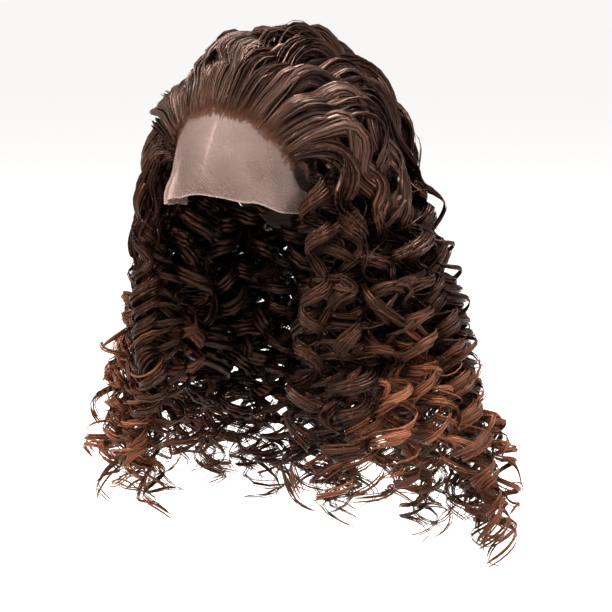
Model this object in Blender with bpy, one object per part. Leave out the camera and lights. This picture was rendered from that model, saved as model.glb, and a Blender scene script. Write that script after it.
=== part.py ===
"""A lace front wig: a stretch cap, a lace front, crown hair swept back from the hairline, and wefts of spiral curls.

Metres, +Z up. The face opening looks along -Y, and +X is the wearer's left. The origin is the top of the
hollow, where the crown of the head carries the cap. An azimuth is measured in degrees round the head, from
0 at the middle of the forehead, through 90 over the left ear, to 180 at the nape.
"""

import math

import bmesh
import bpy
from mathutils import Vector

# The head that the cap is knitted for
HEAD_HALF_WIDTH = 0.076
HEAD_HALF_LENGTH = 0.096
CROWN_DROP = 0.100  # from the top of the head down to its widest ring
CROWN_FULLNESS = 2.3  # 2 is an ellipsoid, more is squarer
NAPE_NARROWING = 0.18

# Walls and gaps
CAP_WALL = 0.0015
LACE_WALL = 0.0010
HAIR_SEAT_GAP = 0.0011  # faceted curved pieces laid on each other
SEAM_GAP = 0.0003  # pieces that meet edge to edge
LACE_SEAM_DROP = 0.0007  # the same on a seam that runs aslant

# The mesh
AROUND = 36
CAP_ROWS = 8
CROWN_ROWS = 11
LACE_HALF_SPAN = 80  # degrees either side of the forehead's middle, a whole number of the cap's columns
LACE_ROWS = 8

# The crown hair
RIM_HEIGHT = -0.095  # where the crown hair ends and the wefts start, behind the temples
RELIEF_DEPTH = 0.0035
RELIEF_SPACING = 0.042
RELIEF_SWING = 1.2
RELIEF_BEND = 0.030

# The curls
LANE_STEP = 13.0  # degrees between neighbouring locks of an outer weft
UNDER_STEP = 19.0  # the same in an under weft
HEAD_HEIGHT = 0.008
LOCK_BOW = 0.013  # how far a lock swings out between its head and its tip
CURL_PITCH = 0.062
CURL_RADIUS = 0.010
LOCK_GAP = 0.0050
OUTER_RINGS = 31
UNDER_RINGS = 20
OUTER_DEPTH = 0.027
UNDER_DEPTH = 0.016
TIP_SHARE = 0.22  # a lock's width at its tip, as a share of its full width

DARK_BROWN = (0.045, 0.022, 0.015)
CHESTNUT = (0.075, 0.036, 0.023)
CAP_BROWN = (0.035, 0.022, 0.017)
LACE_PINK = (0.80, 0.68, 0.64)

# How far down the cap, the lace and the crown hair reach. A reach of 1 is the widest ring of the head, and
# 2 is CROWN_DROP below it.
CAP_EDGE = (
    # azimuth, reach
    (0, 0.56),
    (25, 0.60),
    (50, 0.80),
    (66, 1.16),
    (76, 1.26),
    (86, 1.16),
    (99, 1.06),
    (113, 1.20),
    (131, 1.50),
    (155, 1.72),
    (180, 1.76),
)
HAIRLINE = (
    # azimuth, reach
    (0, 0.64),
    (25, 0.68),
    (42, 0.80),
    (54, 0.93),
    (64, 0.98),
    (180, 0.98),
)
LACE_HEM = (
    # azimuth, reach, distance out from the forehead
    (-80, 1.40, 0.002),
    (-63, 1.36, 0.004),
    (-47, 1.33, 0.013),
    (-33, 1.25, 0.005),
    (0, 1.18, 0.004),
    (30, 1.24, 0.004),
    (52, 1.36, 0.004),
    (80, 1.42, 0.004),
)
CROWN_THICKNESS = (
    # azimuth, thickness a third of the way down, at two thirds, at the rim
    (0, 0.026, 0.018, 0.005),
    (35, 0.025, 0.023, 0.007),
    (50, 0.023, 0.028, 0.014),
    (62, 0.023, 0.032, 0.030),
    (80, 0.028, 0.038, 0.049),
    (100, 0.036, 0.047, 0.061),
    (120, 0.044, 0.055, 0.070),
    (150, 0.046, 0.055, 0.068),
    (180, 0.045, 0.053, 0.064),
)
APEX_THICKNESS = 0.031

# The outer locks of one side, front to back, and where each tip hangs
OUTER_LANES = (
    # azimuth at the head, azimuth at the tip, reach of the tip from the axis, height of the tip
    (57.5, 46, 0.120, -0.415),
    (70.5, 61, 0.148, -0.425),
    (83.5, 76, 0.174, -0.395),
    (96.5, 91, 0.200, -0.380),
    (109.5, 106, 0.230, -0.410),
    (122.5, 120, 0.260, -0.480),
    (135.5, 133, 0.262, -0.505),
    (148.5, 146, 0.236, -0.505),
    (161.5, 160, 0.214, -0.500),
    (173.5, 173.3, 0.202, -0.500),
)
UNDER_LANES = (
    # azimuth at the head, azimuth at the tip, reach of the tip from the axis, height of the tip
    (94, 86, 0.132, -0.350),
    (113, 105, 0.158, -0.380),
    (132, 126, 0.178, -0.440),
    (151, 149, 0.165, -0.460),
    (170, 169, 0.145, -0.460),
)


def between(low, high, share):
    return low + (high - low) * share


def eased(share):
    return share * share * (3 - 2 * share)


def read_table(rows, azimuth):
    """The columns of a table at an azimuth, smoothly between its rows. Two-sided tables start below zero."""
    if rows[0][0] >= 0:
        azimuth = abs((azimuth + 180) % 360 - 180)
    for low, high in zip(rows, rows[1:]):
        if azimuth <= high[0]:
            share = eased(max(0.0, (azimuth - low[0]) / (high[0] - low[0])))
            return [between(a, b, share) for a, b in zip(low[1:], high[1:])]
    return list(rows[-1][1:])


def scalp(azimuth, reach, out=0.0):
    """A point on the head, or the given distance out from it."""
    angle = math.radians(azimuth)
    power = 2 / CROWN_FULLNESS
    if reach < 1:
        lean = reach * math.pi / 2
        width = math.sin(lean) ** power
        drop = 1 - math.cos(lean) ** power
        slope = Vector((math.sin(lean), math.cos(lean)))
    else:
        width = 1 - NAPE_NARROWING * (reach - 1) ** 2
        drop = reach
        slope = Vector((1, 0))
    on_head = Vector(
        (
            HEAD_HALF_WIDTH * width * math.sin(angle),
            -HEAD_HALF_LENGTH * width * math.cos(angle),
            -CROWN_DROP * drop,
        )
    )
    away = Vector(
        (
            slope.x * math.sin(angle) / HEAD_HALF_WIDTH,
            -slope.x * math.cos(angle) / HEAD_HALF_LENGTH,
            slope.y / CROWN_DROP,
        )
    )
    return on_head + away.normalized() * out


def material(name, colour, roughness):
    made = bpy.data.materials.new(name)
    made.use_nodes = True
    shader = made.node_tree.nodes["Principled BSDF"]
    shader.inputs["Base Color"].default_value = (*colour, 1)
    shader.inputs["Roughness"].default_value = roughness
    shader.inputs["Metallic"].default_value = 0
    return made


def finish_piece(name, mesh_in_hand, finish):
    """Turns a bmesh into a named object with smooth shading and one material."""
    bmesh.ops.recalc_face_normals(mesh_in_hand, faces=mesh_in_hand.faces)
    mesh = bpy.data.meshes.new(name)
    mesh_in_hand.to_mesh(mesh)
    mesh_in_hand.free()
    mesh.shade_smooth()
    mesh.materials.append(finish)
    piece = bpy.data.objects.new(name, mesh)
    bpy.context.collection.objects.link(piece)
    return piece


def give_wall(piece, thickness):
    """Solidify outwards from the modelled surface."""
    wall = piece.modifiers.new("wall", "SOLIDIFY")
    wall.thickness = thickness
    wall.offset = 1
    wall.use_even_offset = True


def open_dome(mesh_in_hand, rows, place):
    """A dome open below, from a sphere without its lower pole. place(azimuth, share of the way down) puts each
    vertex. Returns the vertices, with the rim edges."""
    sphere = bmesh.ops.create_uvsphere(
        mesh_in_hand, u_segments=AROUND, v_segments=rows + 1, radius=1
    )["verts"]
    lowest = min(sphere, key=lambda vertex: vertex.co.z)
    dome = [vertex for vertex in sphere if vertex is not lowest]
    bmesh.ops.delete(mesh_in_hand, geom=[lowest], context="VERTS")
    steepest = math.pi * rows / (rows + 1)
    for vertex in dome:
        share = math.acos(max(-1, min(1, vertex.co.z))) / steepest
        azimuth = math.degrees(math.atan2(vertex.co.x, -vertex.co.y))
        vertex.co = place(azimuth, share)
    own = set(dome)
    rim = [edge for vertex in dome for edge in vertex.link_edges if edge.is_boundary]
    return dome, list({edge for edge in rim if set(edge.verts) <= own})


def make_cap(finish):
    """The stretch foundation, a thin wall on the head."""
    work = bmesh.new()
    open_dome(
        work,
        CAP_ROWS,
        lambda azimuth, share: scalp(azimuth, share * read_table(CAP_EDGE, azimuth)[0]),
    )
    give_wall(finish_piece("cap", work, finish), CAP_WALL)


def lace_point(azimuth, share):
    """On the lace, from the cap's front edge (share 0) to the free hem (share 1)."""
    seam = read_table(CAP_EDGE, azimuth)[0] + LACE_SEAM_DROP / CROWN_DROP
    hem, lift = read_table(LACE_HEM, azimuth)
    free = max(0.0, between(seam, hem, share) - read_table(HAIRLINE, azimuth)[0])
    free_share = eased(min(1.0, free / (hem - read_table(HAIRLINE, azimuth)[0])))
    return scalp(azimuth, between(seam, hem, share), lift * free_share)


def make_lace(finish):
    """The uncut lace front: one curved sheet from ear to ear, flared at its right lower corner."""
    columns = 2 * LACE_HALF_SPAN * AROUND // 360
    work = bmesh.new()
    grid = bmesh.ops.create_grid(work, x_segments=columns, y_segments=LACE_ROWS, size=1)["verts"]
    for vertex in grid:
        vertex.co = lace_point(LACE_HALF_SPAN * vertex.co.x, (1 - vertex.co.y) / 2)
    give_wall(finish_piece("lace_front", work, finish), LACE_WALL)


def crown_thickness(azimuth, share):
    """Thickness of the crown hair, with waves that sweep back from the hairline."""
    stations = [APEX_THICKNESS, *read_table(CROWN_THICKNESS, azimuth)]
    third = min(2, int(share * 3))
    plain = between(stations[third], stations[third + 1], eased(share * 3 - third))
    root = scalp(azimuth, share * read_table(HAIRLINE, azimuth)[0])
    wave = math.cos(2 * math.pi * root.x / RELIEF_SPACING + RELIEF_SWING * math.sin(root.y / RELIEF_BEND))
    fade = min(1.0, max(0.0, 1 - share) * 5)
    return plain + RELIEF_DEPTH * wave * fade


def make_crown_hair(finish):
    """The swept-back hair over the cap: an outer dome with relief, closed to an inner one at the rim."""
    work = bmesh.new()
    seat = CAP_WALL + HAIR_SEAT_GAP

    def inner(azimuth, share):
        return scalp(azimuth, share * read_table(HAIRLINE, azimuth)[0], seat)

    def outer(azimuth, share):
        reach = share * read_table(HAIRLINE, azimuth)[0]
        point = scalp(azimuth, reach, seat + crown_thickness(azimuth, share))
        if share > 0.999:
            point.z = inner(azimuth, share).z
        return point

    rims = open_dome(work, CROWN_ROWS, outer)[1] + open_dome(work, CAP_ROWS, inner)[1]
    bmesh.ops.bridge_loops(work, edges=rims)
    finish_piece("crown_hair", work, finish)


class Lane:
    """The path of one lock, from its head under the crown hair to its tip."""

    def __init__(self, row, side, depth, step, on_cap):
        self.head_azimuth, self.tip_azimuth, self.tip_reach, self.tip_height = row
        self.side = side
        self.depth = depth
        self.step = step
        head = scalp(self.head_azimuth, read_table(HAIRLINE, self.head_azimuth)[0])
        on_head = Vector((head.x, head.y)).length
        thickness = read_table(CROWN_THICKNESS, self.head_azimuth)[-1]
        self.depth = min(depth, thickness - 0.004)
        if on_cap:
            self.head_reach = on_head + CAP_WALL + HAIR_SEAT_GAP + self.depth / 2
        else:
            self.head_reach = on_head + thickness - self.depth / 2

    def reach(self, share):
        bow = LOCK_BOW * math.sin(math.pi * share**0.6)
        return between(self.head_reach, self.tip_reach, share) + bow

    def azimuth(self, share):
        return self.side * between(self.head_azimuth, self.tip_azimuth, eased(share))

    def axes(self, share):
        """Unit vectors outwards and round the head."""
        angle = math.radians(self.azimuth(share))
        return (
            Vector((math.sin(angle), -math.cos(angle), 0)),
            Vector((math.cos(angle), math.sin(angle), 0)),
        )

    def centre(self, share):
        out, around = self.axes(share)
        height = between(RIM_HEIGHT - HEAD_HEIGHT, self.tip_height, share)
        turn = 2 * math.pi * (RIM_HEIGHT - height) / CURL_PITCH
        radius = CURL_RADIUS * eased(min(1.0, share / 0.3))
        point = out * (self.reach(share) + radius * math.sin(turn))
        point += around * radius * math.cos(turn)
        point.z = height
        return point

    def half_sizes(self, share):
        """Half the lock's width round the head, and half its depth."""
        taper = between(1.0, TIP_SHARE, share**4)
        width = self.reach(share) * math.radians(self.step) / 2 - LOCK_GAP / 2
        return width * taper, self.depth / 2 * taper


def section_corners(middle, out, around, half_width, half_depth):
    """The five corners of a level section of a lock, in order round it."""
    corners = ((-1, 0.3), (0, 1), (1, 0.3), (0.7, -1), (-0.7, -1))
    return [middle + around * half_width * wide + out * half_depth * far for wide, far in corners]


def weft_track(mesh_in_hand, lanes):
    """The sewn row that carries a weft's locks: five-sided heads side by side. Returns each head's lower face,
    with its vertices in the order of a section's corners."""
    heads = []
    previous = None
    for lane in lanes:
        out, around = lane.axes(0)
        middle = out * lane.reach(0)
        middle.z = RIM_HEIGHT - SEAM_GAP - HEAD_HEIGHT
        corners = section_corners(middle, out, around, *lane.half_sizes(0))
        vertices = [None] * 5
        if previous:
            # Neighbouring heads share the edge where they meet, halfway between their corners.
            for own, shared in ((0, 2), (4, 3)):
                vertices[own] = previous[shared]
                vertices[own].co = (vertices[own].co + corners[own]) / 2
        for index, corner in enumerate(corners):
            vertices[index] = vertices[index] or mesh_in_hand.verts.new(corner)
        heads.append((mesh_in_hand.faces.new(vertices), vertices))
        previous = vertices
    lower = [face for face, vertices in heads]
    raised = bmesh.ops.extrude_face_region(mesh_in_hand, geom=lower, use_keep_orig=True)
    top = [part for part in raised["geom"] if isinstance(part, bmesh.types.BMVert)]
    bmesh.ops.translate(mesh_in_hand, verts=top, vec=(0, 0, HEAD_HEIGHT))
    return heads


def hang_lock(mesh_in_hand, head, lane, rings):
    """Draws one lock down its lane from its head's lower face."""
    face, corner_vertices = head
    order = [corner_vertices.index(vertex) for vertex in face.verts]
    for step in range(1, rings + 1):
        face = bmesh.ops.extrude_discrete_faces(mesh_in_hand, faces=[face])["faces"][0]
        # Rings are closer together near the head, where the lock narrows.
        share = (step / rings) ** 1.1
        corners = section_corners(lane.centre(share), *lane.axes(share), *lane.half_sizes(share))
        for vertex, corner in zip(face.verts, order):
            vertex.co = corners[corner]


def make_weft(name, lanes, rings, finish):
    """A track with its spiral locks, as one body."""
    work = bmesh.new()
    heads = weft_track(work, lanes)
    for head, lane in zip(heads, lanes):
        hang_lock(work, head, lane, rings)
    finish_piece(name, work, finish)


def side_lanes(rows, side, under):
    """Lanes of one side in the order of rising azimuth."""
    depth = UNDER_DEPTH if under else OUTER_DEPTH
    step = UNDER_STEP if under else LANE_STEP
    lanes = [Lane(row, side, depth, step, under) for row in rows]
    return lanes if side > 0 else lanes[::-1]


def main():
    for old in list(bpy.data.objects):
        bpy.data.objects.remove(old)
    dark = material("dark_hair", DARK_BROWN, 0.38)
    chestnut = material("chestnut_hair", CHESTNUT, 0.36)
    make_cap(material("cap_net", CAP_BROWN, 0.85))
    make_lace(material("lace_net", LACE_PINK, 0.7))
    make_crown_hair(chestnut)
    for side_name, side in (("left", 1), ("right", -1)):
        for place, first, last in (("front", 0, 3), ("side", 3, 6), ("back", 6, 10)):
            lanes = side_lanes(OUTER_LANES[first:last], side, False)
            make_weft(f"{side_name}_{place}_curls", lanes, OUTER_RINGS, dark)
        for place, first, last in (("side", 0, 2), ("nape", 2, 5)):
            lanes = side_lanes(UNDER_LANES[first:last], side, True)
            make_weft(f"{side_name}_{place}_under_curls", lanes, UNDER_RINGS, dark)


main()
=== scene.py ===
"""The looks of a lace front wig: net cap, sheer lace over the forehead, hair swept back in waves, and
spiral curls that turn copper towards their tips.

An azimuth is measured in degrees round the head, from 0 at the middle of the forehead, through 90 over the
left ear, to 180 at the nape, and it is negative on the right. A reach is how far down the head: 0 at the
crown, 1 at the widest ring. A lane is the azimuth at which a lock passes the rim of the crown hair.
"""

import math

import bmesh
import bpy
import numpy as np
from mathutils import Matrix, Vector


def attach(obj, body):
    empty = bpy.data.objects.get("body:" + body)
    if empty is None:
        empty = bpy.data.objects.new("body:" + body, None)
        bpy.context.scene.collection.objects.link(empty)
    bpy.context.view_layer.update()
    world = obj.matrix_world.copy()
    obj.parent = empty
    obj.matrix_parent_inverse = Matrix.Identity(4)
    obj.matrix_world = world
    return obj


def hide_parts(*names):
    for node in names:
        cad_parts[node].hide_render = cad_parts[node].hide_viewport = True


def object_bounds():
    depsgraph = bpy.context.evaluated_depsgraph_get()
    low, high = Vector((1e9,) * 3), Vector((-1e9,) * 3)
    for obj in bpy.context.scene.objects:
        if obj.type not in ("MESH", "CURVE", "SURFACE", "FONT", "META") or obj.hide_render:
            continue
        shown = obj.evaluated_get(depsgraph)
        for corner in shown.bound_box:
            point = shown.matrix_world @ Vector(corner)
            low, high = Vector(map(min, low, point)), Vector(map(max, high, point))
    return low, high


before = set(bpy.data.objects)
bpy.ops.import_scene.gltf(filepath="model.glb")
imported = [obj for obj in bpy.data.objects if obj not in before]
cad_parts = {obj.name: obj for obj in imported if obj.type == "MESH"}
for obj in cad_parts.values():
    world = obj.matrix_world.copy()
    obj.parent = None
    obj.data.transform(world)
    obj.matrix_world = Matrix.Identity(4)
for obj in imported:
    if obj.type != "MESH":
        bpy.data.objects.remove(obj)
CAD_BOX = [list(corner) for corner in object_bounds()]
draw = np.random.default_rng(7)

# The head, the cap, the lace and the crown hair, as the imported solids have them
HEAD_HALF_WIDTH = 0.076
HEAD_HALF_LENGTH = 0.096
CROWN_DROP = 0.100
CROWN_FULLNESS = 2.3
NAPE_NARROWING = 0.18
CAP_WALL = 0.0015
RIM_REACH = 0.98
RIM_HEIGHT = -0.095
CAP_EDGE = np.array(
    [
        # azimuth, reach
        (0, 0.56),
        (25, 0.60),
        (50, 0.80),
        (66, 1.16),
        (76, 1.26),
        (86, 1.16),
        (99, 1.06),
        (113, 1.20),
        (131, 1.50),
        (155, 1.72),
        (180, 1.76),
    ]
)
HAIRLINE = np.array(
    [
        # azimuth, reach
        (0, 0.64),
        (25, 0.68),
        (42, 0.80),
        (54, 0.93),
        (64, 0.98),
        (180, 0.98),
    ]
)
LACE_HEM = np.array(
    [
        # azimuth, reach, distance out from the forehead
        (-80, 1.40, 0.002),
        (-63, 1.36, 0.004),
        (-47, 1.33, 0.013),
        (-33, 1.25, 0.005),
        (0, 1.18, 0.004),
        (30, 1.24, 0.004),
        (52, 1.36, 0.004),
        (80, 1.42, 0.004),
    ]
)
LACE_HALF_SPAN = 80
LACE_THICKNESS = 0.0003
LACE_TUCK = 0.007  # how much farther down than the cap's edge the net is sewn on, as a reach
CROWN_THICKNESS = np.array(
    [
        # azimuth, at the top, a third of the way down, at two thirds, at the rim
        (0, 0.031, 0.026, 0.018, 0.005),
        (35, 0.031, 0.025, 0.023, 0.007),
        (50, 0.031, 0.023, 0.028, 0.014),
        (62, 0.031, 0.023, 0.032, 0.030),
        (80, 0.031, 0.028, 0.038, 0.049),
        (100, 0.031, 0.036, 0.047, 0.061),
        (120, 0.031, 0.044, 0.055, 0.070),
        (150, 0.031, 0.046, 0.055, 0.068),
        (180, 0.031, 0.045, 0.053, 0.064),
    ]
)
FALL = np.array(
    [
        # azimuth at the rim, azimuth at the tip, reach of the tip from the axis, height of the tip
        (50.0, 40, 0.112, -0.405),
        (57.5, 46, 0.120, -0.415),
        (70.5, 61, 0.148, -0.425),
        (83.5, 76, 0.174, -0.395),
        (96.5, 91, 0.200, -0.380),
        (109.5, 106, 0.230, -0.410),
        (122.5, 120, 0.260, -0.480),
        (135.5, 133, 0.262, -0.505),
        (148.5, 146, 0.236, -0.505),
        (161.5, 160, 0.214, -0.500),
        (180, 180, 0.202, -0.500),
    ]
)
CROWN_SHAPING = np.array(
    [
        # azimuth and its spread, reach and its spread, how far in (below 0: out)
        (-60, 42, 0.48, 0.19, 0.015),
        (120, 35, 0.42, 0.18, 0.011),
        (112, 30, 0.85, 0.16, -0.009),
        (-82, 30, 1.00, 0.12, 0.011),
    ]
)
COPPER_FROM = np.array(
    [
        # azimuth at the rim, how far along a lock the copper starts
        (-180, 0.80),
        (-135, 0.72),
        (-112, 0.56),
        (-85, 0.52),
        (-68, 0.60),
        (-50, 0.70),
        (50, 0.86),
        (66, 0.80),
        (80, 0.70),
        (92, 0.58),
        (106, 0.53),
        (120, 0.64),
        (134, 0.80),
        (180, 0.80),
    ]
)
LOWEST_TIP = -0.518
FALL_BOW = 0.013
FALL_HALF_DEPTH = 0.0135  # half as deep as a lock of the solids
# Local changes: a lane, its spread, and how much
FARTHER_OUT = ((122, 22, 0.007),)
CLOSER_IN = ((-82, 26, 0.014),)
LONGER_LOCKS = ((118, 20, 0.09), (-82, 20, 0.17))

# The hair
SECTION = ((1, 0), (0, -0.32), (-1, 0))  # a strand's section: flat, with a low ridge
STRANDS = 5
LOCK_WIDTH = 0.0074
STRAY = 0.007
PITCH = 0.036
CURL_RADIUS = 0.0146
RINGS_A_TURN = 13
DEEP_RINGS_A_TURN = 9
DEEP_FROM = 0.45  # locks deeper than this are hardly seen
CURL_OPENS_OVER = 0.085  # length in which a curl reaches its radius
TURNING_SETS_IN_OVER = 0.04
TURN_BACK_OVER = 0.035  # share of the fall in which a ringlet turns back
ROOT_LIFT = 0.001
LOCK_WANDER = 0.0015
TIP_WANDER = 0.006
LOCK_BULGE = 0.0014  # how far a lock's middle strands stand out
THINNEST = 0.0002
FINE_HALF_WIDTHS = (0.0003, 0.0007)
CROWN_STEP = 0.009  # distance between the rings of a strand, over the crown
WAVE_LENGTH = 0.075
WAVE_DEPTH = 0.0075
FIRST_LANE = 50.5
LAST_LANE = 179.5
HAIRLINE_HAIRS = 1000
SHORT_HAIR_LENGTHS = (0.012, 0.034)
SHORT_HAIR_HALF_WIDTHS = (0.00018, 0.00032)
HAIR_TAPER = (0.3, 1, 1, 1, 0.95, 0.85, 0.7, 0.45, 0)
FLYAWAYS = 8
LOOSE_CURLS = 12
TEMPLE = 64  # azimuth at which the hairline reaches the rim
COPPER_DARK = (0.042, 0.013, 0.006)
COPPER_LIT = (0.30, 0.106, 0.050)

# The nets
WEFTING_APART = 0.012
CAP_CELLS = 620.0  # in a metre
LACE_CELLS = 1500.0

# The studio
FLOOR_DROP = 0.045  # from the solids' lowest tip
LIGHTS_AIM = (0, 0, -0.2)
WARM_WHITE = (1, 0.93, 0.88)
CAMERA_AZIMUTH = 30
CAMERA_ELEVATION = 10
CAMERA_DISTANCE = 1.8
CAMERA_SENSOR = 36
VIEW_WIDTH = 0.594  # what the picture spans at the distance of the wig
VIEW_SHIFT = 0.0436  # how far right of the origin the middle of the picture is
VIEW_DROP = 0.235  # how far below it


def eased(share):
    share = np.clip(share, 0, 1)
    return share * share * (3 - 2 * share)


def bell(place, middle, spread):
    """1 at the middle, and next to nothing at twice the spread on either side."""
    return np.exp(-(((place - middle) / spread) ** 2))


def local_change(rows, lane):
    """What the rows of a local change come to at a lane."""
    return sum(most * bell(lane, middle, spread) for middle, spread, most in rows)


def read_table(rows, azimuth):
    """Columns of a table at each azimuth, eased between its rows. Two-sided tables start below zero."""
    azimuth = np.asarray(azimuth, float)
    if rows[0, 0] >= 0:
        azimuth = np.abs((azimuth + 180) % 360 - 180)
    low = np.clip(np.searchsorted(rows[:, 0], azimuth, side="right") - 1, 0, len(rows) - 2)
    share = eased((azimuth - rows[low, 0]) / (rows[low + 1, 0] - rows[low, 0]))[..., None]
    return rows[low, 1:] * (1 - share) + rows[low + 1, 1:] * share


def unit(vectors):
    return vectors / np.maximum(np.linalg.norm(vectors, axis=-1, keepdims=True), 1e-9)


def scalp(azimuth, reach, out=0.0):
    """Points on the head, or the given distance out from it."""
    angle = np.radians(azimuth)
    reach = np.asarray(reach, float)
    power = 2 / CROWN_FULLNESS
    lean = np.clip(reach, 0, 1) * math.pi / 2
    width = np.where(reach < 1, np.sin(lean) ** power, 1 - NAPE_NARROWING * (reach - 1) ** 2)
    drop = np.where(reach < 1, 1 - np.maximum(np.cos(lean), 0) ** power, reach)
    side = np.stack([np.sin(angle) + 0 * reach, -np.cos(angle) + 0 * reach], -1)
    on_head = np.stack(
        [
            HEAD_HALF_WIDTH * width * side[..., 0],
            HEAD_HALF_LENGTH * width * side[..., 1],
            -CROWN_DROP * drop,
        ],
        -1,
    )
    away = np.stack(
        [
            np.sin(lean) * side[..., 0] / HEAD_HALF_WIDTH,
            np.sin(lean) * side[..., 1] / HEAD_HALF_LENGTH,
            np.cos(lean) / CROWN_DROP,
        ],
        -1,
    )
    return on_head + unit(away) * np.asarray(out)[..., None]


def crown_offset(azimuth, reach, depth):
    """How far out from the head a layer of the crown hair lies: depth 0 is the outermost, 1 on the cap."""
    hairline = read_table(HAIRLINE, azimuth)[..., 0]
    stations = read_table(CROWN_THICKNESS, azimuth)
    share = np.clip(reach / hairline, 0, 1) * 3
    third = np.minimum(share.astype(int), 2)
    near = np.take_along_axis(stations, third[..., None], -1)[..., 0]
    far = np.take_along_axis(stations, third[..., None] + 1, -1)[..., 0]
    thickness = near + (far - near) * eased(share - third)
    for middle, spread, low, height, inward in CROWN_SHAPING:
        turned = (azimuth - middle + 180) % 360 - 180
        thickness = thickness - inward * bell(turned, 0, spread) * bell(reach, low, height)
    return CAP_WALL + 0.003 + (thickness - 0.004) * (1 - depth)


def fall_points(lane, share, depth):
    """Points down the falls, where share is 0 at the rim and 1 at the tip."""
    row = read_table(FALL, lane)
    side = np.where(lane < 0, -1.0, 1.0)
    azimuth = np.radians(side * (np.abs(lane) * (1 - eased(share)) + row[..., 0] * eased(share)))
    rim = scalp(lane, RIM_REACH * np.ones_like(share))
    on_head = np.hypot(rim[..., 0], rim[..., 1])
    start = on_head + crown_offset(lane, RIM_REACH * np.ones_like(share), depth)
    bow = FALL_BOW * np.sin(math.pi * np.clip(share, 0, 1) ** 0.6)
    end = row[..., 1] + FALL_HALF_DEPTH - depth * (0.045 + 0.25 * row[..., 1])
    tuck = local_change(CLOSER_IN, lane) * np.sin(math.pi * np.clip(share, 0, 1))
    radius = start + (end - start) * share + bow - tuck + local_change(FARTHER_OUT, lane) * share
    height = RIM_HEIGHT + (row[..., 2] - RIM_HEIGHT) * share
    return np.stack([radius * np.sin(azimuth), -radius * np.cos(azimuth), height], -1)


def evenly(points, steps):
    """A polyline resampled, where steps gives the distance from point to point all along it."""
    lengths = np.linalg.norm(np.diff(points[:, :3], axis=0), axis=1)
    ticks = np.concatenate([[0], np.cumsum(lengths / steps[1:])])
    places = np.linspace(0, ticks[-1], max(4, int(ticks[-1]) + 1))
    return np.stack([np.interp(places, ticks, points[:, axis]) for axis in range(points.shape[1])], -1)


def softened(points, passes):
    """A polyline with its corners rounded, and its ends kept."""
    for _ in range(passes):
        points[1:-1] = (points[:-2] + 2 * points[1:-1] + points[2:]) / 4
    return points


def drifting(stations, count):
    """A smooth run through the stations, one row per point."""
    places = np.linspace(0, len(stations) - 1, count)
    low = np.minimum(places.astype(int), len(stations) - 2)
    share = eased(places - low)[:, None]
    return stations[low] * (1 - share) + stations[low + 1] * share


def wander(count, amount, knots):
    """A slow random drift in three directions, one row per point."""
    return drifting(draw.normal(0, amount, (knots, 3)), count)


class Hair:
    """Strands gathered for one piece, each swept with a flat section."""

    def __init__(self):
        self.strands = []

    def add(self, points, across, radii, tone, copper):
        """Adds a strand. Its section's broad side lies along across, a direction at each point."""
        ahead = np.diff(points, axis=0)
        ahead = unit(np.vstack([ahead[:1], unit(ahead[:-1]) + unit(ahead[1:]), ahead[-1:]]))
        level = unit(np.cross([0, 0, 1], ahead))
        above = np.cross(ahead, level)
        tilt = np.arctan2(np.sum(across * above, 1), np.sum(across * level, 1))
        seed = np.full(len(points), draw.uniform(0, 1))
        self.strands.append((points, radii, tilt, tone * np.ones(len(points)), copper, seed))

    def make(self, name, finish, slot, nodes):
        """Sweeps the strands and makes one piece of them."""
        section = bpy.data.curves.new("strand_section", "CURVE")
        corners = section.splines.new("POLY")
        corners.points.add(len(SECTION) - 1)
        corners.use_cyclic_u = True
        for corner, place in zip(corners.points, SECTION):
            corner.co = (*place, 0, 1)
        section_object = bpy.data.objects.new("strand_section", section)
        curve = bpy.data.curves.new(name, "CURVE")
        curve.dimensions = "3D"
        curve.twist_mode = "Z_UP"
        curve.bevel_mode = "OBJECT"
        curve.bevel_object = section_object
        for points, radii, tilt, *_ in self.strands:
            spline = curve.splines.new("POLY")
            spline.points.add(len(points) - 1)
            spline.points.foreach_set("co", np.hstack([points, np.ones((len(points), 1))]).ravel())
            spline.points.foreach_set("radius", radii)
            spline.points.foreach_set("tilt", tilt)
            spline.use_smooth = True
        swept = bpy.data.objects.new(name + "_path", curve)
        bpy.context.collection.objects.link(swept)
        graph = bpy.context.evaluated_depsgraph_get()
        mesh = bpy.data.meshes.new_from_object(swept.evaluated_get(graph))
        mesh.name = name
        for object_made in (swept, section_object):
            bpy.data.objects.remove(object_made)
        # The sweep lists its vertices ring by ring, strand after strand.
        for label, column in (("tone", 3), ("copper", 4), ("seed", 5)):
            along = np.concatenate([strand[column] for strand in self.strands])
            values = np.repeat(along, len(SECTION)).astype(np.float32)
            mesh.attributes.new(label, "FLOAT", "POINT").data.foreach_set("value", values)
        # Both ends of a strand are drawn to a point, and the merge closes them.
        work = bmesh.new()
        work.from_mesh(mesh)
        bmesh.ops.remove_doubles(work, verts=work.verts, dist=1e-6)
        work.to_mesh(mesh)
        work.free()
        mesh.materials.clear()
        mesh.materials.append(finish)
        piece = bpy.data.objects.new(name, mesh)
        bpy.context.collection.objects.link(piece)
        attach(piece, "root")
        if nodes:
            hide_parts(*nodes)


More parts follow.
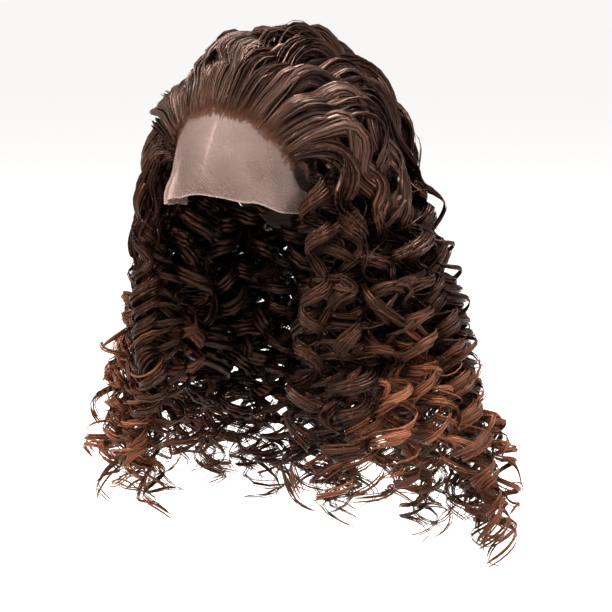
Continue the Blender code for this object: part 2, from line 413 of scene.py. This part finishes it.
def crown_path(root_azimuth, root_reach, lane, lift):
    """How a lock is swept from its root to the rim, as azimuths and reaches. It is a cubic curve on a flat
    map, where the crown of the head is the centre and the distance from it is the reach. It leaves the root
    towards the back, the farther the more lift it has, and comes to the rim straight down."""
    root_angle, lane_angle = math.radians(root_azimuth), math.radians(lane)
    root = root_reach * np.array([math.sin(root_angle), -math.cos(root_angle)])
    leave = np.array([math.sin(lane_angle), -math.cos(lane_angle)])
    end = RIM_REACH * leave
    span = np.linalg.norm(end - root)
    back = unit(np.array([root[0] * 0.25, 1.0]))
    first = root + back * (lift + 0.30 * span)
    last = end - leave * 0.42 * span
    share = np.linspace(0, 1, 40)[:, None]
    flat = (
        root * (1 - share) ** 3
        + 3 * first * share * (1 - share) ** 2
        + 3 * last * share**2 * (1 - share)
        + end * share**3
    )
    return np.degrees(np.arctan2(flat[:, 0], -flat[:, 1])), np.linalg.norm(flat, axis=1)


class Tuft:
    """What the locks of one ringlet have in common. Its depth is 0 outermost and 1 next to the cap."""

    def __init__(self, depth):
        self.depth = depth
        self.turn = draw.choice([-1, 1])
        self.wave_start = draw.uniform(0, 2 * math.pi)
        self.wave_length = WAVE_LENGTH * draw.uniform(0.85, 1.2)
        self.pitch = PITCH * draw.uniform(0.80, 1.2)
        self.radius = CURL_RADIUS * draw.uniform(0.85, 1.2)
        self.phase = draw.uniform(0, 2 * math.pi)
        self.curl_start = draw.uniform(-0.05, 0.02)
        self.drift = draw.normal(0, 1, (7, 3))
        self.uneven = np.clip(draw.normal(0, 1, (10, 3)), -1.5, 1.5)
        # Here and there a ringlet turns back and goes on the other way round.
        self.turn_backs = draw.uniform(0.2, 0.9, draw.integers(0, 2))
        self.out_share = draw.uniform(0.8, 1.1)
        self.across_share = draw.uniform(0.9, 1.15)
        self.length = draw.uniform(0.95, 1.05)
        self.copper_off = draw.normal(0, 0.05)
        self.tone = draw.uniform(0.75, 1.3)


class Lock:
    """One curl with all its strands, from the scalp to the tip. Its place in its ringlet is -1 to 1, with 0
    in the middle."""

    def __init__(self, tuft, root_azimuth, root_reach, lane, **choices):
        self.tuft = tuft
        self.lane = lane
        place = choices.get("place", 0)
        self.strands = choices.get("strands", STRANDS)
        self.fine_strands = choices.get("fine_strands", 1 if place >= 0 else 0)
        self.crown_strands = choices.get("crown_strands", 2)
        self.width = choices.get("width", LOCK_WIDTH) * draw.uniform(0.7, 1.2)
        self.phase_off = 0.30 * place + draw.normal(0, 0.06)
        self.radius = tuft.radius * draw.uniform(0.92, 1.08)
        self.radius *= 0.72 + 0.28 * float(eased((abs(lane) - 54) / 22))
        if -90 < lane < 0:
            # The curls in front on the right start lower, and each lock of a ringlet lower than the last.
            tuft.curl_start = abs(tuft.curl_start) + 0.02
        # Painted shade: the deeper a tuft lies, the darker its locks are coloured, and a chosen tone below
        # 1 darkens locks that lie under others. The tuft's tone and the factor after it vary at random.
        self.tone = (1 - 0.5 * tuft.depth) * choices.get("tone", 1.0) * tuft.tone
        self.tone *= draw.uniform(0.85, 1.15)
        self.copper_from = float(read_table(COPPER_FROM, lane)[0]) + tuft.copper_off
        self.copper_from += draw.uniform(-0.04, 0.04)
        depth = float(np.clip(tuft.depth + draw.uniform(-0.03, 0.03), 0, 1))
        depth *= 0.35 + 0.65 * float(eased((abs(lane) - 58) / 34))
        cut = draw.uniform(0.97, 1.0) if place == 0 else draw.uniform(0.88, 1.0)
        length = choices.get("length", 1.0) * (tuft.length * cut - 0.06 * depth)
        length *= 1 + local_change(LONGER_LOCKS, lane)
        length = min(length, (LOWEST_TIP - RIM_HEIGHT) / (read_table(FALL, lane)[2] - RIM_HEIGHT))
        azimuth, reach = crown_path(root_azimuth, root_reach, lane, choices.get("lift", 0.12))
        # The lock soon rises from the scalp to its own layer.
        risen = 1 - np.exp(-np.linspace(0, 1, len(reach)) * 7)
        offset = crown_offset(azimuth, np.minimum(reach, RIM_REACH), np.full_like(reach, depth))
        crown = scalp(azimuth, reach, ROOT_LIFT + (offset - ROOT_LIFT) * risen)
        share = np.linspace(0, length, 90)[1:]
        fall = fall_points(np.full_like(share, lane), share, np.full_like(share, depth))
        guide = np.vstack([crown, fall])
        rings = DEEP_RINGS_A_TURN if depth > DEEP_FROM else RINGS_A_TURN
        steps = np.concatenate([np.full(len(crown), CROWN_STEP), self.pitch_at(share / length) / rings])
        steps = np.convolve(np.pad(steps, 4, mode="edge"), np.ones(9) / 9, mode="valid")
        marked = np.hstack([guide, np.concatenate([np.zeros(len(crown)), share / length])[:, None]])
        marked = evenly(marked, steps)
        self.fallen = marked[:, 3]
        count = len(marked)
        drift = drifting(tuft.drift * choices.get("stray", STRAY), count)
        drift = drift + wander(count, LOCK_WANDER, 7)
        drift = drift * eased(np.linspace(0, 1.6, count))[:, None]
        # Towards the tips the locks of a ringlet, and the strands of a lock, part.
        self.parting = eased((self.fallen - 0.5) / 0.5) ** 1.4
        drift = drift + wander(count, TIP_WANDER, 5) * self.parting[:, None]
        self.own_phase, self.own_size = draw.normal(0, 0.8), abs(draw.normal(0, 0.15))
        self.guide = softened(marked[:, :3].copy(), 6) + drift
        self.curl()

    def pitch_at(self, fallen):
        """The pitch of the spiral: longer at the rim, and again where the tips hang loose."""
        return self.tuft.pitch * (1.45 - 0.50 * eased(fallen * 2.2) + 0.35 * eased((fallen - 0.65) / 0.35))

    def curl(self):
        """Works out how the guide waves over the crown and how it spirals down the fall."""
        guide = self.guide
        count = self.count = len(guide)
        steps = np.linalg.norm(np.diff(guide, axis=0, prepend=guide[:1]), axis=1)
        along = np.cumsum(steps)
        self.along = along / along[-1]
        ahead = unit(np.gradient(guide, axis=0))
        outward = unit(guide * [1, 1, 0] + [0, 0, 0.03] * (1 - eased(self.fallen * 8)[:, None]))
        self.outward = unit(outward - ahead * np.sum(outward * ahead, 1)[:, None])
        self.across = np.cross(ahead, self.outward)
        start = np.interp(0.002, self.fallen, along) + self.tuft.curl_start
        curling = eased((along - start) / CURL_OPENS_OVER)
        turning = eased((along - start) / TURNING_SETS_IN_OVER)
        narrowing = (1 - 0.12 * eased((self.fallen - 0.55) / 0.45)) * (1 + self.own_size * self.parting)
        uneven = drifting(self.tuft.uneven, count)
        way = self.tuft.turn * np.ones(count)
        for turn_back in self.tuft.turn_backs:
            way = way * np.tanh((self.fallen - turn_back) / TURN_BACK_OVER)
        self.phase = (
            self.tuft.phase
            + self.phase_off
            + 2 * math.pi * np.cumsum(steps * turning * way / self.pitch_at(self.fallen))
            + 1.2 * uneven[:, 0] * turning
            + self.own_phase * self.parting
        )
        self.reach = self.radius * curling * narrowing * (1 + 0.28 * uneven[:, 1])
        self.waving = (1 - curling) * eased((along - 0.03) / 0.05)
        wave = 2 * math.pi * along / self.tuft.wave_length + self.tuft.wave_start + draw.uniform(-0.3, 0.3)
        sideways = WAVE_DEPTH * self.waving * np.sin(wave)
        outwards = 0.7 * WAVE_DEPTH * self.waving * np.cos(wave + 0.6)
        drawn_in = 1.0 - 0.5 * eased((self.fallen - 0.55) / 0.45)
        self.centre = guide - self.outward * (drawn_in * self.reach)[:, None]
        self.centre = self.centre + self.across * sideways[:, None] + self.outward * outwards[:, None]

    def turned(self, phase_off, size):
        """The lock's path for one strand, and the way out of its curl at each point."""
        phase = self.phase + phase_off
        spoke = (
            self.outward * (self.tuft.out_share * np.cos(phase))[:, None]
            + self.across * (self.tuft.across_share * np.sin(phase))[:, None]
        )
        return self.centre + spoke * (self.reach * size)[:, None], unit(spoke)

    def strands_into(self, crown_hair, fall_hair):
        """Adds the strands, the crown's share to one piece and the curls to another. The two overlap at the
        rim, where each tapers off."""
        spread = self.width * (1 + 0.35 * self.waving) * (0.4 + 0.6 * eased(self.along * 9))
        spread = spread * (1 - 0.25 * (self.reach > 0.003)) * (1 - 0.42 * eased((self.along - 0.6) / 0.4))
        copper = eased((self.along - self.copper_from) / 0.22) + 0.3 * (1 - eased(self.along / 0.05))
        total = self.strands + self.fine_strands + (self.crown_strands if crown_hair else 0)
        for index in range(total):
            fine = index >= self.strands
            crown_only = index >= self.strands + self.fine_strands
            place = draw.uniform(-0.62, 0.62) if fine else (index + 0.5) / self.strands - 0.5
            path, spoke = self.turned(
                draw.normal(0, 0.22 if fine else 0.06) + draw.normal(0, 0.12) * self.parting,
                1 + draw.normal(0, 0.12 if fine else 0.05) + draw.normal(0, 0.05) * self.parting,
            )
            flat_way = unit(np.cross(unit(np.gradient(path, axis=0)), spoke))
            loose = softened(wander(self.count, 0.0018 if fine else 0.0005, 14), 6)
            loose = loose * (0.3 + 0.9 * self.along)[:, None]
            raised = LOCK_BULGE * math.cos(place * math.pi) + draw.normal(0, 0.0004)
            points = path + flat_way * (spread * place)[:, None] + spoke * raised + loose
            if fine:
                half = np.full(self.count, draw.uniform(*FINE_HALF_WIDTHS))
            else:
                half = 0.80 * spread / self.strands * draw.uniform(0.75, 1.25) + THINNEST
            leaning = flat_way + spoke * (draw.uniform(-0.2, 0.2) - place)
            # Painted shade: the inner side of a curl, where shadow falls, is coloured darker.
            painted_shade_inside = 0.5 - 0.5 * np.sum(spoke * self.outward, 1)
            tone = self.tone * draw.uniform(0.85, 1.15) * (1 - 0.45 * (self.reach > 0.002) * painted_shade_inside)
            end = self.count - int(draw.uniform(0, 0.03) * self.count)
            rim = int(np.searchsorted(self.fallen, 0.004))
            for hair, first, last in ((crown_hair, 0, rim + 5), (fall_hair, max(rim - 4, 0), end)):
                if hair is None or last - first < 6:
                    continue
                if hair is fall_hair and crown_only:
                    continue
                before = np.arange(last - first)
                taper = np.minimum(before / 4, 1.0) ** 0.6
                taper = taper * np.minimum(before[::-1] / (4 if hair is crown_hair else 5), 1.0) ** 0.6
                part = slice(first, last)
                hair.add(points[part], leaning[part], half[part] * taper, tone[part], copper[part])


class Value:
    """A number that varies over a surface. Expressions on it add Math nodes."""

    def __init__(self, finish, socket):
        self.finish = finish
        self.socket = socket

    def worked(self, operation, *parts):
        node = self.finish.node("ShaderNodeMath", {"operation": operation}, *parts)
        return Value(self.finish, node.outputs[0])

    def __add__(self, other):
        return self.worked("ADD", self, other)

    __radd__ = __add__

    def __sub__(self, other):
        return self.worked("SUBTRACT", self, other)

    def __rsub__(self, other):
        return self.worked("SUBTRACT", other, self)

    def __mul__(self, other):
        return self.worked("MULTIPLY", self, other)

    __rmul__ = __mul__

    def sine(self):
        return self.worked("SINE", self)

    def kept_between(self, low, high):
        return self.worked("MAXIMUM", self.worked("MINIMUM", self, high), low)

    def stepped(self, low, high):
        """0 below low, 1 above high, smooth between."""
        settings = {"interpolation_type": "SMOOTHSTEP"}
        node = self.finish.node("ShaderNodeMapRange", settings, self, low, high, 0.0, 1.0)
        return Value(self.finish, node.outputs[0])


class Finish:
    """A material in the making."""

    def __init__(self, name, **constants):
        self.material = bpy.data.materials.new(name)
        self.material.use_nodes = True
        self.tree = self.material.node_tree
        self.shader = self.tree.nodes["Principled BSDF"]
        for socket, value in constants.items():
            self.shader.inputs[socket.replace("_", " ")].default_value = value

    def feed(self, socket, value):
        if isinstance(value, Value):
            value = value.socket
        if isinstance(value, bpy.types.NodeSocket):
            self.tree.links.new(value, socket)
        elif value is not None:
            socket.default_value = value

    def node(self, kind, settings, *values):
        made = self.tree.nodes.new(kind)
        for name, setting in settings.items():
            setattr(made, name, setting)
        for socket, value in zip(made.inputs, values):
            self.feed(socket, value)
        return made

    def attribute(self, name):
        return Value(self, self.node("ShaderNodeAttribute", {"attribute_name": name}).outputs[2])

    def blend(self, share, first, second):
        node = self.node("ShaderNodeMix", {"data_type": "RGBA"})
        self.feed(node.inputs[0], share)
        self.feed(node.inputs[6], first)
        self.feed(node.inputs[7], second)
        return node.outputs[2]

    def noise(self, place, scale, detail):
        node = self.node("ShaderNodeTexNoise", {})
        self.feed(node.inputs["Vector"], place)
        node.inputs["Scale"].default_value = scale
        node.inputs["Detail"].default_value = detail
        return Value(self, node.outputs[0])

    def point(self, x, y, z):
        return self.node("ShaderNodeCombineXYZ", {}, x, y, z).outputs[0]

    def coordinates(self, which):
        return self.node("ShaderNodeTexCoord", {}).outputs[which]

    def bump(self, height, strength, distance):
        node = self.node("ShaderNodeBump", {})
        node.inputs["Strength"].default_value = strength
        node.inputs["Distance"].default_value = distance
        self.feed(node.inputs["Height"], height)
        self.feed(self.shader.inputs["Normal"], node.outputs[0])

    def set(self, socket, value):
        self.feed(self.shader.inputs[socket], value)


def hair_finish(name, dark, lit, roughness, gloss, tint):
    """Glossy fibres, darker and brighter by turns along a strand, which go over into copper."""
    finish = Finish(name, IOR=1.5, Specular_IOR_Level=gloss, Specular_Tint=(*tint, 1.0))
    tone = finish.attribute("tone")
    split = finish.node("ShaderNodeSeparateXYZ", {}, finish.coordinates("UV"))
    around, along = (Value(finish, split.outputs[axis]) for axis in (0, 1))
    seed = finish.attribute("seed")
    fibres = finish.noise(finish.point(around * 9.0, along * 6.0, seed * 60.0), 1.0, 2.0)
    fibres = fibres.stepped(0.32, 0.68)
    bands = finish.noise(finish.point(around * 2.0, along * 7.0, seed * 60.0), 1.0, 1.0)
    # The tone attribute carries painted shade (deeper locks and the inner sides of curls are darker) beside
    # random tone. Fibres and bands are streaks of colour along the strands.
    lit_share = (tone * 0.7 + fibres * 0.75 + bands * 0.8 - 1.1).kept_between(0.0, 1.0)
    brown = finish.blend(lit_share, (*dark, 1), (*lit, 1))
    copper = finish.blend(lit_share, (*COPPER_DARK, 1), (*COPPER_LIT, 1))
    finish.set("Base Color", finish.blend(finish.attribute("copper"), brown, copper))
    finish.set("Roughness", (roughness + 0.42 - fibres * 0.42).kept_between(0.1, 1.0))
    finish.bump(fibres, 0.7, 0.0003)
    return finish.material


def cap_finish():
    """Knitted net, with rows of wefting."""
    finish = Finish("cap_net", Specular_IOR_Level=0.2)
    place = finish.coordinates("Object")
    split = finish.node("ShaderNodeSeparateXYZ", {}, place)
    height = Value(finish, split.outputs[2])
    rows = (height * (2 * math.pi / WEFTING_APART)).sine().stepped(0.55, 0.95)
    net = finish.node("ShaderNodeTexVoronoi", {"feature": "DISTANCE_TO_EDGE"}, place)
    net.inputs["Scale"].default_value = CAP_CELLS
    cells = Value(finish, net.outputs[0]).stepped(0.05, 0.25)
    shade = (cells * 0.6 + rows * 0.5).kept_between(0.0, 1.0)
    finish.set("Base Color", finish.blend(shade, (0.030, 0.018, 0.013, 1), (0.010, 0.006, 0.005, 1)))
    finish.set("Roughness", 0.85 - rows * 0.2)
    finish.bump(rows * 0.8 - cells * 0.4, 0.6, 0.0006)
    return finish.material


def lace_finish():
    """Sheer net, denser along its creases and its hem."""
    finish = Finish("lace_net", Specular_IOR_Level=0.25, Roughness=0.75)
    place = finish.coordinates("Object")
    net = finish.node("ShaderNodeTexVoronoi", {"feature": "DISTANCE_TO_EDGE"}, place)
    net.inputs["Scale"].default_value = LACE_CELLS
    threads = 1 - Value(finish, net.outputs[0]).stepped(0.04, 0.22)
    cloud = finish.noise(place, 22.0, 3.0)
    creased = finish.attribute("crease")
    finish.set("Alpha", (threads * 0.05 + cloud * 0.12 + creased * 0.38 + 0.065).kept_between(0.0, 1.0))
    finish.set("Base Color", finish.blend(cloud, (0.37, 0.255, 0.225, 1), (0.49, 0.365, 0.335, 1)))
    finish.material.surface_render_method = "DITHERED"
    return finish.material


def plain_piece(name, work, finish, nodes):
    """A bmesh as a finished piece."""
    mesh = bpy.data.meshes.new(name)
    work.to_mesh(mesh)
    work.free()
    mesh.shade_smooth()
    mesh.materials.append(finish)
    piece = bpy.data.objects.new(name, mesh)
    bpy.context.collection.objects.link(piece)
    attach(piece, "root")
    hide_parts(*nodes)
    return piece


def add_wall(piece, thickness):
    """Thickens a piece outwards."""
    wall = piece.modifiers.new("wall", "SOLIDIFY")
    wall.thickness = thickness
    wall.offset = 1


def make_cap():
    """The net cap: a sphere opened below and fitted to the head."""
    around, rows = 144, 48
    work = bmesh.new()
    sphere = bmesh.ops.create_uvsphere(work, u_segments=around, v_segments=rows + 1, radius=1)["verts"]
    lowest = min(sphere, key=lambda vertex: vertex.co.z)
    bmesh.ops.delete(work, geom=[lowest], context="VERTS")
    kept = list(work.verts)
    places = np.array([vertex.co for vertex in kept])
    share = np.arccos(np.clip(places[:, 2], -1, 1)) / (math.pi * rows / (rows + 1))
    azimuth = np.degrees(np.arctan2(places[:, 0], -places[:, 1]))
    fitted = scalp(azimuth, share * read_table(CAP_EDGE, azimuth)[:, 0])
    for vertex, place in zip(kept, fitted):
        vertex.co = place
    bmesh.ops.recalc_face_normals(work, faces=work.faces)
    piece = plain_piece("net_cap", work, cap_finish(), ["cap"])
    add_wall(piece, CAP_WALL)


def lace_creases(azimuth, reach):
    """How strongly the sheet is creased at each point: a fold that runs down to the flared corner, a second
    one beside it and a faint short one near the middle."""
    fold = bell(azimuth, -34 - 26 * (reach - 1.1), 1.8) * eased((reach - 0.90) / 0.2)
    edge = 0.6 * bell(azimuth, -49 + 16 * (reach - 1.1), 1.6) * eased((reach - 0.95) / 0.2)
    faint = 0.35 * bell(azimuth, 2 - 16 * (reach - 0.8), 1.1) * eased((reach - 0.66) / 0.1)
    faint = faint * (1 - eased((reach - 0.85) / 0.2))
    return fold, edge, faint


def lace_points(azimuth, share):
    """The lace, from the cap's front edge (share 0) to the free hem (share 1), and its creases."""
    seam = read_table(CAP_EDGE, azimuth)[..., 0] + LACE_TUCK
    hem_row = read_table(LACE_HEM, azimuth)
    hairline = read_table(HAIRLINE, azimuth)[..., 0]
    hem = hem_row[..., 0] + 0.006 * np.sin(azimuth * 0.09) + 0.003 * np.sin(azimuth * 0.23 + 1)
    reach = seam + (hem - seam) * share
    free = eased((reach - hairline) / (hem - hairline))
    ripple = 0.0011 * np.sin(azimuth * 0.12 + 2.2 * reach) + 0.0006 * np.sin(azimuth * 0.31 - 5 * reach)
    fold, edge, faint = lace_creases(azimuth, reach)
    out = 0.0004 + (hem_row[..., 1] + ripple + 0.001) * free + 0.0035 * fold + 0.002 * edge + 0.0012 * faint
    hemmed = 0.9 * eased((share - 0.975) / 0.02)
    return scalp(azimuth, reach, out), np.maximum(np.maximum(fold, edge), np.maximum(faint, hemmed))


def make_lace():
    """The lace front: one sheer sheet from ear to ear, uncut, flared at its right lower corner."""
    work = bmesh.new()
    crease = work.verts.layers.float.new("crease")
    grid = bmesh.ops.create_grid(work, x_segments=160, y_segments=56, size=1)["verts"]
    places = np.array([vertex.co for vertex in grid])
    fitted, creased = lace_points(LACE_HALF_SPAN * places[:, 0], (1 - places[:, 1]) / 2)
    for vertex, place, strength in zip(grid, fitted, creased):
        vertex.co = place
        vertex[crease] = strength
    bmesh.ops.recalc_face_normals(work, faces=work.faces)
    facing_back = sum(face.normal.y * face.calc_area() for face in work.faces)
    if facing_back > 0:
        bmesh.ops.reverse_faces(work, faces=work.faces)
    piece = plain_piece("sheer_lace", work, lace_finish(), ["lace_front"])
    add_wall(piece, LACE_THICKNESS)


def lanes(low, high, count, side, jitter):
    """Lanes on one side, evenly spaced but for the jitter."""
    places = np.linspace(low, high, count) + draw.uniform(-jitter, jitter, count)
    return side * np.clip(places, FIRST_LANE, LAST_LANE)


def swept_lane(azimuth, forward):
    """The lane of hair rooted at an azimuth of the hairline: the hair of the middle falls at the back, and
    that of the temples the given angle farther forward."""
    return 172 - forward * (azimuth / TEMPLE) ** 1.15


def grow_hair():
    """The locks that are seen: those of the hairline, and rows on the cap."""
    grown = []
    for side in (1, -1):
        # Swept from the hairline: over the top from its middle, and down in front from the temples
        for middle in np.linspace(2.5, 61.0, 12):
            tuft = Tuft(draw.uniform(0.06, 0.24))
            shift = draw.uniform(-5, 5)
            tuft_lane = np.clip(swept_lane(middle, 121) + shift, 55, 178)
            for place in (-1, 0, 1):
                root = side * (middle + 2.0 * place)
                reach = float(read_table(HAIRLINE, root)[..., 0]) + draw.uniform(-0.03, 0.0)
                lane = side * (tuft_lane - place)
                choices = {"width": 0.0115, "lift": 0.16, "crown_strands": 4, "place": place}
                grown.append(Lock(tuft, root, reach, lane, **choices))
        # Rows on the cap, each lower and deeper than the one before
        for row_reach, low, high, count, near, far, members in (
            (0.30, 96, 178, 4, 0.22, 0.42, (-1, 0, 1)),
            (0.52, 78, 178, 5, 0.35, 0.60, (-1, 0, 1)),
            (0.72, 68, 178, 5, 0.40, 0.65, (-0.5, 0.5)),
            (0.88, 64, 178, 6, 0.55, 0.85, (-0.5, 0.5)),
        ):
            for middle in lanes(low, high, count, side, 5):
                tuft = Tuft(draw.uniform(near, far))
                for place in members:
                    lane = side * np.clip(abs(middle) - place, 57, 179)
                    root = side * (abs(lane) * 0.86 + 10 + 2.5 * place)
                    grown.append(Lock(tuft, root, row_reach, lane, lift=0.05, place=place))
    return grown


def grow_crown_filling():
    """Broad locks close over the cap, below the swept ones."""
    filling = []
    # The tone of 0.7 paints shade on these locks, which lie under the swept ones.
    choices = {"width": 0.024, "strands": 6, "lift": 0.14, "tone": 0.7}
    for side in (1, -1):
        for middle in np.linspace(4, 58, 9):
            lane = side * swept_lane(middle, 105)
            filling.append(Lock(Tuft(draw.uniform(0.72, 0.88)), side * middle, 0.60, lane, **choices))
    return filling


def grow_hairline():
    """The short fine hairs at the hairline, which hide where the locks come out of the lace."""
    short = Hair()
    count = len(HAIR_TAPER)
    for _ in range(HAIRLINE_HAIRS):
        root = draw.uniform(-63, 63)
        reach = float(read_table(HAIRLINE, root)[..., 0]) + draw.normal(0.012, 0.014)
        lane = math.copysign(swept_lane(abs(root), 116), root) + draw.normal(0, 14)
        azimuth, reaches = crown_path(root, reach, lane, 0.14)
        flat = scalp(azimuth, reaches)
        length = draw.uniform(*SHORT_HAIR_LENGTHS)
        run = np.cumsum(np.linalg.norm(np.diff(flat, axis=0, prepend=flat[:1]), axis=1))
        places = np.linspace(0, length, count)
        along = places / length
        azimuth = np.interp(places, run, np.unwrap(azimuth, period=360))
        reaches = np.interp(places, run, reaches)
        lifted = 0.0007 + draw.uniform(0.001, 0.006) * along**1.5
        points = scalp(azimuth, reaches, lifted) + softened(wander(count, 0.0006, 4), 2) * along[:, None]
        out = unit(scalp(azimuth, reaches, 0.01) - scalp(azimuth, reaches))
        across = np.cross(unit(np.gradient(points, axis=0)), out)
        half = draw.uniform(*SHORT_HAIR_HALF_WIDTHS) * np.array(HAIR_TAPER)
        short.add(points, across, half, draw.uniform(0.9, 1.5), np.full(count, draw.uniform(0.15, 0.5)))
    return short


def grow_flyaways():
    """Single fine hairs, and thin curls of two strands, that stand off the others."""
    loose = []
    for strands in (0,) * FLYAWAYS + (2,) * LOOSE_CURLS:
        lane = draw.choice([-1, 1]) * draw.uniform(58, 178)
        tuft = Tuft(draw.uniform(0.0, 0.15))
        loose.append(Lock(tuft, lane * 0.9, 0.7, lane, strands=strands, width=0.0045, stray=0.012))
    return loose


def zone(lane):
    """The weft that a lock falls with."""
    side = "left" if lane > 0 else "right"
    place = "front" if abs(lane) < 90 else "side" if abs(lane) < 129 else "back"
    return f"{side}_{place}"


def make_hair():
    """Every lock and every short hair, gathered into pieces."""
    chestnut = hair_finish(
        "chestnut_hair",
        dark=(0.0030, 0.0012, 0.0008),
        lit=(0.028, 0.0095, 0.0045),
        roughness=0.23,
        gloss=0.57,
        tint=(1.0, 0.61, 0.50),
    )
    dark = hair_finish(
        "dark_hair",
        dark=(0.0018, 0.0008, 0.0006),
        lit=(0.021, 0.0070, 0.0034),
        roughness=0.20,
        gloss=0.32,
        tint=(1.0, 0.51, 0.37),
    )
    crown = {"left": Hair(), "right": Hair()}
    falls = {}
    for lock in grow_hair():
        where = zone(lock.lane)
        falls.setdefault(where, Hair())
        lock.strands_into(crown["left" if lock.lane > 0 else "right"], falls[where])
    for lock in grow_crown_filling():
        lock.strands_into(crown["left" if lock.lane > 0 else "right"], None)
    for side, hair in crown.items():
        hair.make(f"{side}_crown_waves", chestnut, "chestnut_hair", ["crown_hair"])
    for where, hair in falls.items():
        hair.make(f"{where}_ringlets", dark, "dark_hair", [f"{where}_curls"])
    # The tone of 0.6 paints shade on the under ringlets, which hang behind the others.
    under = {"width": 0.018, "strands": 3, "fine_strands": 0, "length": 0.80, "tone": 0.6}
    for side, name in ((1, "left"), (-1, "right")):
        for place, low, high, count in (("side", 84, 122, 5), ("nape", 122, 179, 7)):
            hair = Hair()
            for lane in lanes(low, high, count, side, 3):
                Lock(Tuft(0.97), lane, 0.9, lane, **under).strands_into(None, hair)
            hair.make(f"{name}_{place}_under_ringlets", dark, "dark_hair", [f"{name}_{place}_under_curls"])
    grow_hairline().make("hairline_hairs", chestnut, "chestnut_hair", [])
    loose = Hair()
    for lock in grow_flyaways():
        lock.strands_into(None, loose)
    loose.make("flyaway_hairs", dark, "dark_hair", [])


def make_stage():
    """The pale floor below the tips."""
    work = bmesh.new()
    bmesh.ops.create_grid(work, x_segments=1, y_segments=1, size=60)
    bmesh.ops.translate(work, verts=work.verts, vec=(0, 0, CAD_BOX[0][2] - FLOOR_DROP))
    mesh = bpy.data.meshes.new("floor")
    work.to_mesh(mesh)
    work.free()
    floor = bpy.data.objects.new("floor", mesh)
    bpy.context.collection.objects.link(floor)
    finish = Finish(
        "pale_floor",
        Roughness=0.9,
        Base_Color=(0.5, 0.49, 0.48, 1),
        Emission_Color=(1, 0.985, 0.97, 1),
        Emission_Strength=0.82,
    )
    mesh.materials.append(finish.material)


def light(name, place, size, power):
    """A round soft light, aimed at the wig."""
    lamp = bpy.data.lights.new(name, "AREA")
    lamp.shape = "DISK"
    lamp.size = size
    lamp.energy = power
    lamp.color = WARM_WHITE
    made = bpy.data.objects.new(name, lamp)
    made.location = place
    made.rotation_euler = (Vector(LIGHTS_AIM) - Vector(place)).to_track_quat("-Z", "Y").to_euler()
    bpy.context.collection.objects.link(made)


def make_world():
    """White surroundings, brighter at the horizon than overhead."""
    world = bpy.data.worlds.new("studio")
    world.use_nodes = True
    tree = world.node_tree
    direction = tree.nodes.new("ShaderNodeTexCoord").outputs["Generated"]
    split = tree.nodes.new("ShaderNodeSeparateXYZ")
    ceiling = tree.nodes.new("ShaderNodeMapRange")
    for name, value in (("From Min", 0.02), ("From Max", 0.22), ("To Min", 0.9), ("To Max", 0.2)):
        ceiling.inputs[name].default_value = value
    tree.links.new(direction, split.inputs[0])
    tree.links.new(split.outputs[2], ceiling.inputs["Value"])
    tree.links.new(ceiling.outputs[0], tree.nodes["Background"].inputs["Strength"])
    tree.nodes["Background"].inputs["Color"].default_value = (1, 1, 1, 1)
    bpy.context.scene.world = world
    bpy.context.scene.view_settings.view_transform = "Standard"


def make_lights():
    light("key", (-0.5, -1.7, 1.3), size=0.8, power=95)
    light("side", (1.9, -0.6, 0.7), size=0.8, power=48)
    light("top", (0.0, 0.2, 1.7), size=0.9, power=110)


def make_camera():
    """The camera, at the left front and a little above."""
    azimuth, elevation = math.radians(CAMERA_AZIMUTH), math.radians(CAMERA_ELEVATION)
    level = math.cos(elevation)
    back = Vector((math.sin(azimuth) * level, -math.cos(azimuth) * level, math.sin(elevation)))
    right = Vector((math.cos(azimuth), math.sin(azimuth), 0))
    up = back.cross(right)
    aim = right * VIEW_SHIFT - up * VIEW_DROP
    data = bpy.data.cameras.new("camera")
    data.sensor_width = CAMERA_SENSOR
    data.lens = CAMERA_SENSOR * CAMERA_DISTANCE / VIEW_WIDTH
    camera = bpy.data.objects.new("camera", data)
    camera.location = aim + back * CAMERA_DISTANCE
    camera.rotation_euler = (-back).to_track_quat("-Z", "Y").to_euler()
    bpy.context.collection.objects.link(camera)
    bpy.context.scene.camera = camera


make_world()
make_lights()
make_camera()
make_stage()
make_cap()
make_lace()
make_hair()
